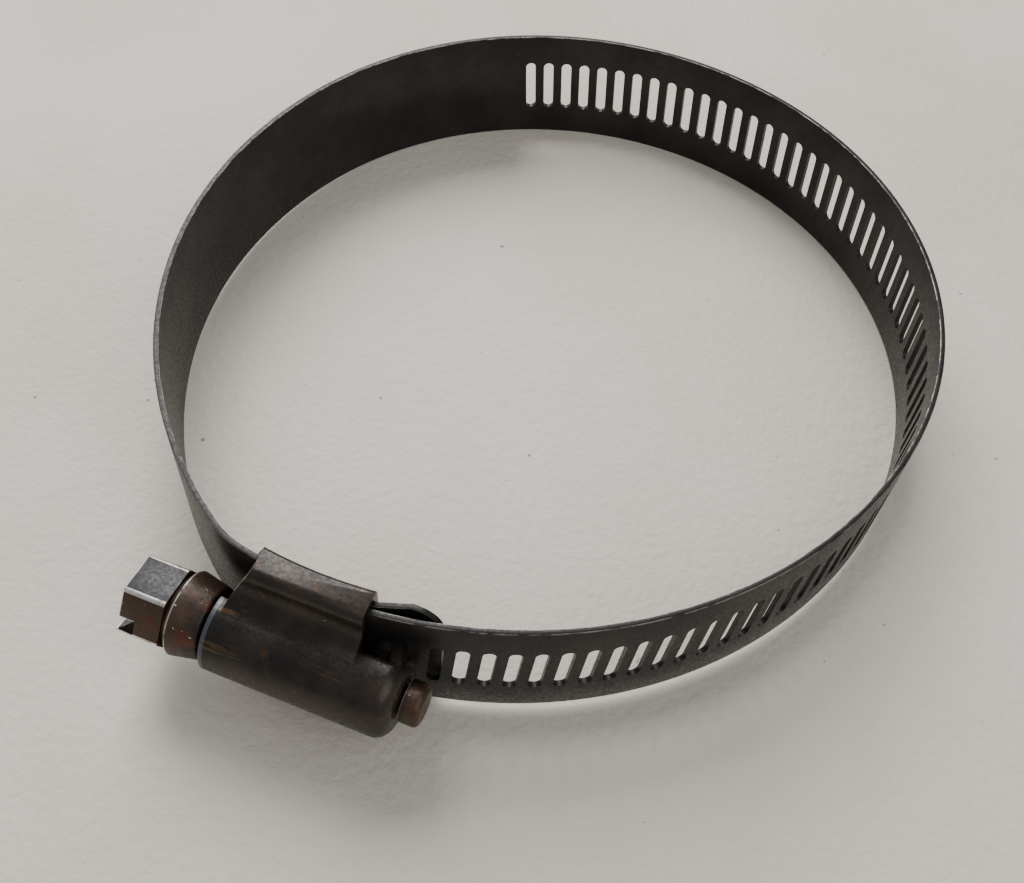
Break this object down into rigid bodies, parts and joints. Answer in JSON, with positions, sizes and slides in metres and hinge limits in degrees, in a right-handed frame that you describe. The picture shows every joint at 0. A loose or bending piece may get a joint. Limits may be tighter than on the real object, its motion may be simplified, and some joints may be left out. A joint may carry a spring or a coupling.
{
  "type": "worm-drive pipe clamp",
  "caption": "Worm-drive pipe clamp: slotted blackened steel band closed into a ring, formed housing and captive hex-head worm screw that tightens it.",
  "frame": {"origin": "on the axis of the clamping bore (the centre of the band's large arc), at the middle of the band's width", "axes": "+Z along the clamped pipe, +X along the screw from its head to its tip; the housing and the screw are at -Y"},
  "size_m": [0.0882, 0.1014, 0.0178],
  "materials": {
    "band_steel": "blackened spring steel, worn satin",
    "housing_steel": "blackened sheet steel, oily and lightly rusted",
    "screw_steel": "blackened steel with brown rust and bright worn edges"
  },
  "bodies": {
    "clamp_base": {"housing": "housing_steel", "band_anchor_span": "band_steel"},
    "worm": {"screw": "screw_steel"},
    "blank_side": {"band_blank_span": "band_steel"},
    "ring_middle": {"band_middle_span": "band_steel"},
    "slotted_side": {"band_slotted_span": "band_steel"},
    "tail": {"band_tail_span": "band_steel"}
  },
  "joints": [
    {"name": "flex_blank_near", "type": "hinge", "parent": "clamp_base", "child": "blank_side", "pos_m": [-0.03733, -0.02839, 0], "axis": [0, 0, -1], "range_deg": [0, 2.26]},
    {"name": "flex_blank_far", "type": "hinge", "parent": "blank_side", "child": "ring_middle", "pos_m": [-0.04207, 0.01125, 0], "axis": [0, 0, -1], "range_deg": [0, 5.73]},
    {"name": "flex_slotted_far", "type": "hinge", "parent": "ring_middle", "child": "slotted_side", "pos_m": [0.03466, 0.02628, 0], "axis": [0, 0, -1], "range_deg": [0, 4.03]},
    {"name": "flex_slotted_near", "type": "hinge", "parent": "slotted_side", "child": "tail", "pos_m": [0.03425, -0.02826, 0], "axis": [0, 0, -1], "range_deg": [0, 2.34]},
    {"name": "screw_spin", "type": "hinge", "parent": "clamp_base", "child": "worm", "pos_m": [-0.00722, -0.05307, 0], "axis": [1, 0, 0], "range_deg": [0, 1801]}
  ],
  "couplings": [
    {"joint": "flex_blank_near", "follows": "flex_blank_far", "ratio": 0.3922},
    {"joint": "flex_slotted_far", "follows": "flex_blank_far", "ratio": 0.70252},
    {"joint": "flex_slotted_near", "follows": "flex_blank_far", "ratio": 0.40701},
    {"joint": "screw_spin", "follows": "flex_blank_far", "ratio": 314.38}
  ]
}
